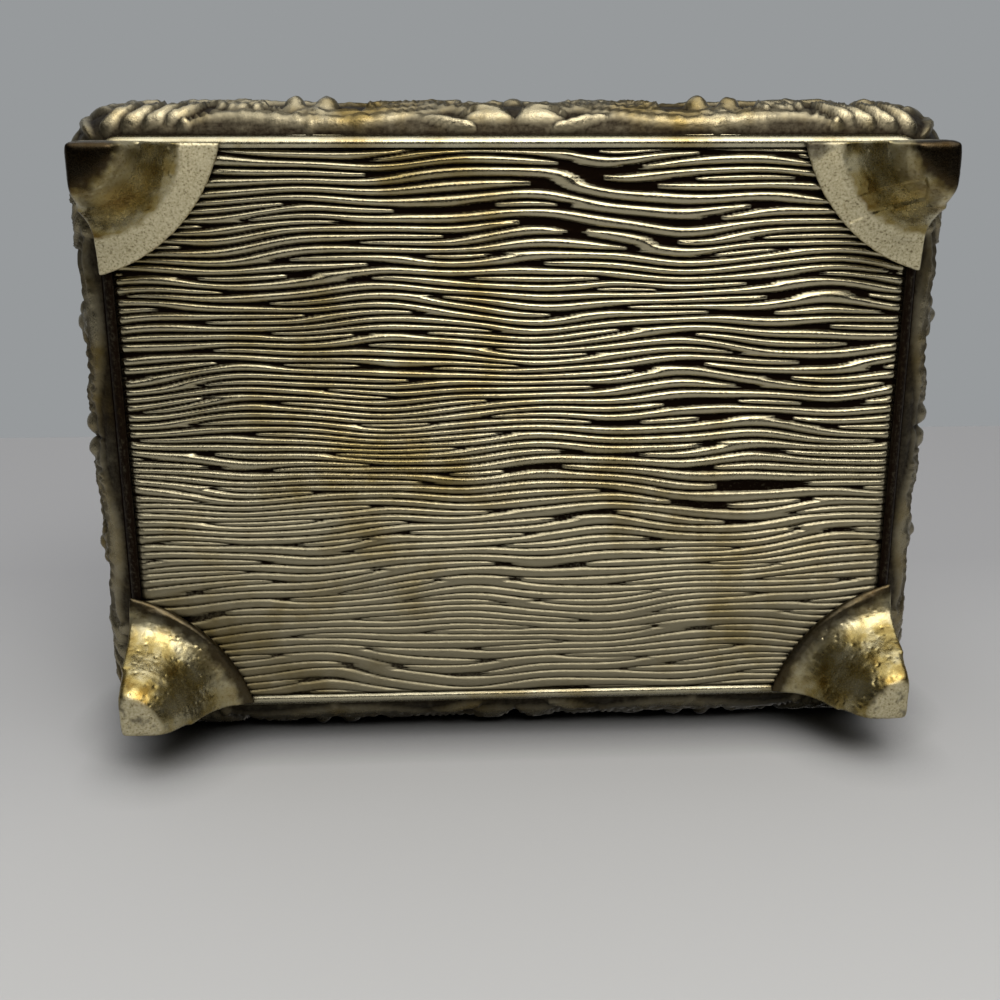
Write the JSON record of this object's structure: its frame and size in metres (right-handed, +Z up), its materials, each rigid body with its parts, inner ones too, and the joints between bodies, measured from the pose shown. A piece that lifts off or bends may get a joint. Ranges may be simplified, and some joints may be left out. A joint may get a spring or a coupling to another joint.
{
  "type": "stamp box",
  "caption": "Small rectangular cast metal box on corner feet, with a combed underside, a relief belly, a hinged domed lid and two velvet compartments for stamps.",
  "frame": {"origin": "on the ground plane under the middle of the box", "axes": "+X along the long side, -Y towards the front with the thumb lip, +Z up"},
  "size_m": [0.0782, 0.0594, 0.0366],
  "materials": {
    "plated_casting": "antiqued silver-plated casting with dark patina",
    "combed_casting": "combed silver-plated casting with dark furrows",
    "plated_feet": "smooth silver-plated casting, worn at the tips",
    "hinge_brass": "plated brass, dulled",
    "velvet": "deep red cotton velvet",
    "card": "grey-brown pasteboard"
  },
  "bodies": {
    "box": {"wall_shell": "plated_casting", "base_plate": "combed_casting", "front_left_foot": "plated_feet", "front_right_foot": "plated_feet", "back_left_foot": "plated_feet", "back_right_foot": "plated_feet", "box_hinge_leaf": "hinge_brass", "hinge_pin": "hinge_brass", "floor_card": "card", "front_wall_lining": "velvet", "back_wall_lining": "velvet", "left_wall_lining": "velvet", "right_wall_lining": "velvet", "compartment_divider": "velvet", "left_stamp_bed": "velvet", "right_stamp_bed": "velvet"},
    "lid": {"lid_shell": "plated_casting", "lid_hinge_leaf": "hinge_brass", "lid_card": "card", "lid_lining": "velvet"}
  },
  "joints": [
    {"name": "lid_hinge", "type": "hinge", "parent": "box", "child": "lid", "pos_m": [0, 0.02843, 0.02445], "axis": [-1, 0, 0], "range_deg": [0, 100]}
  ]
}
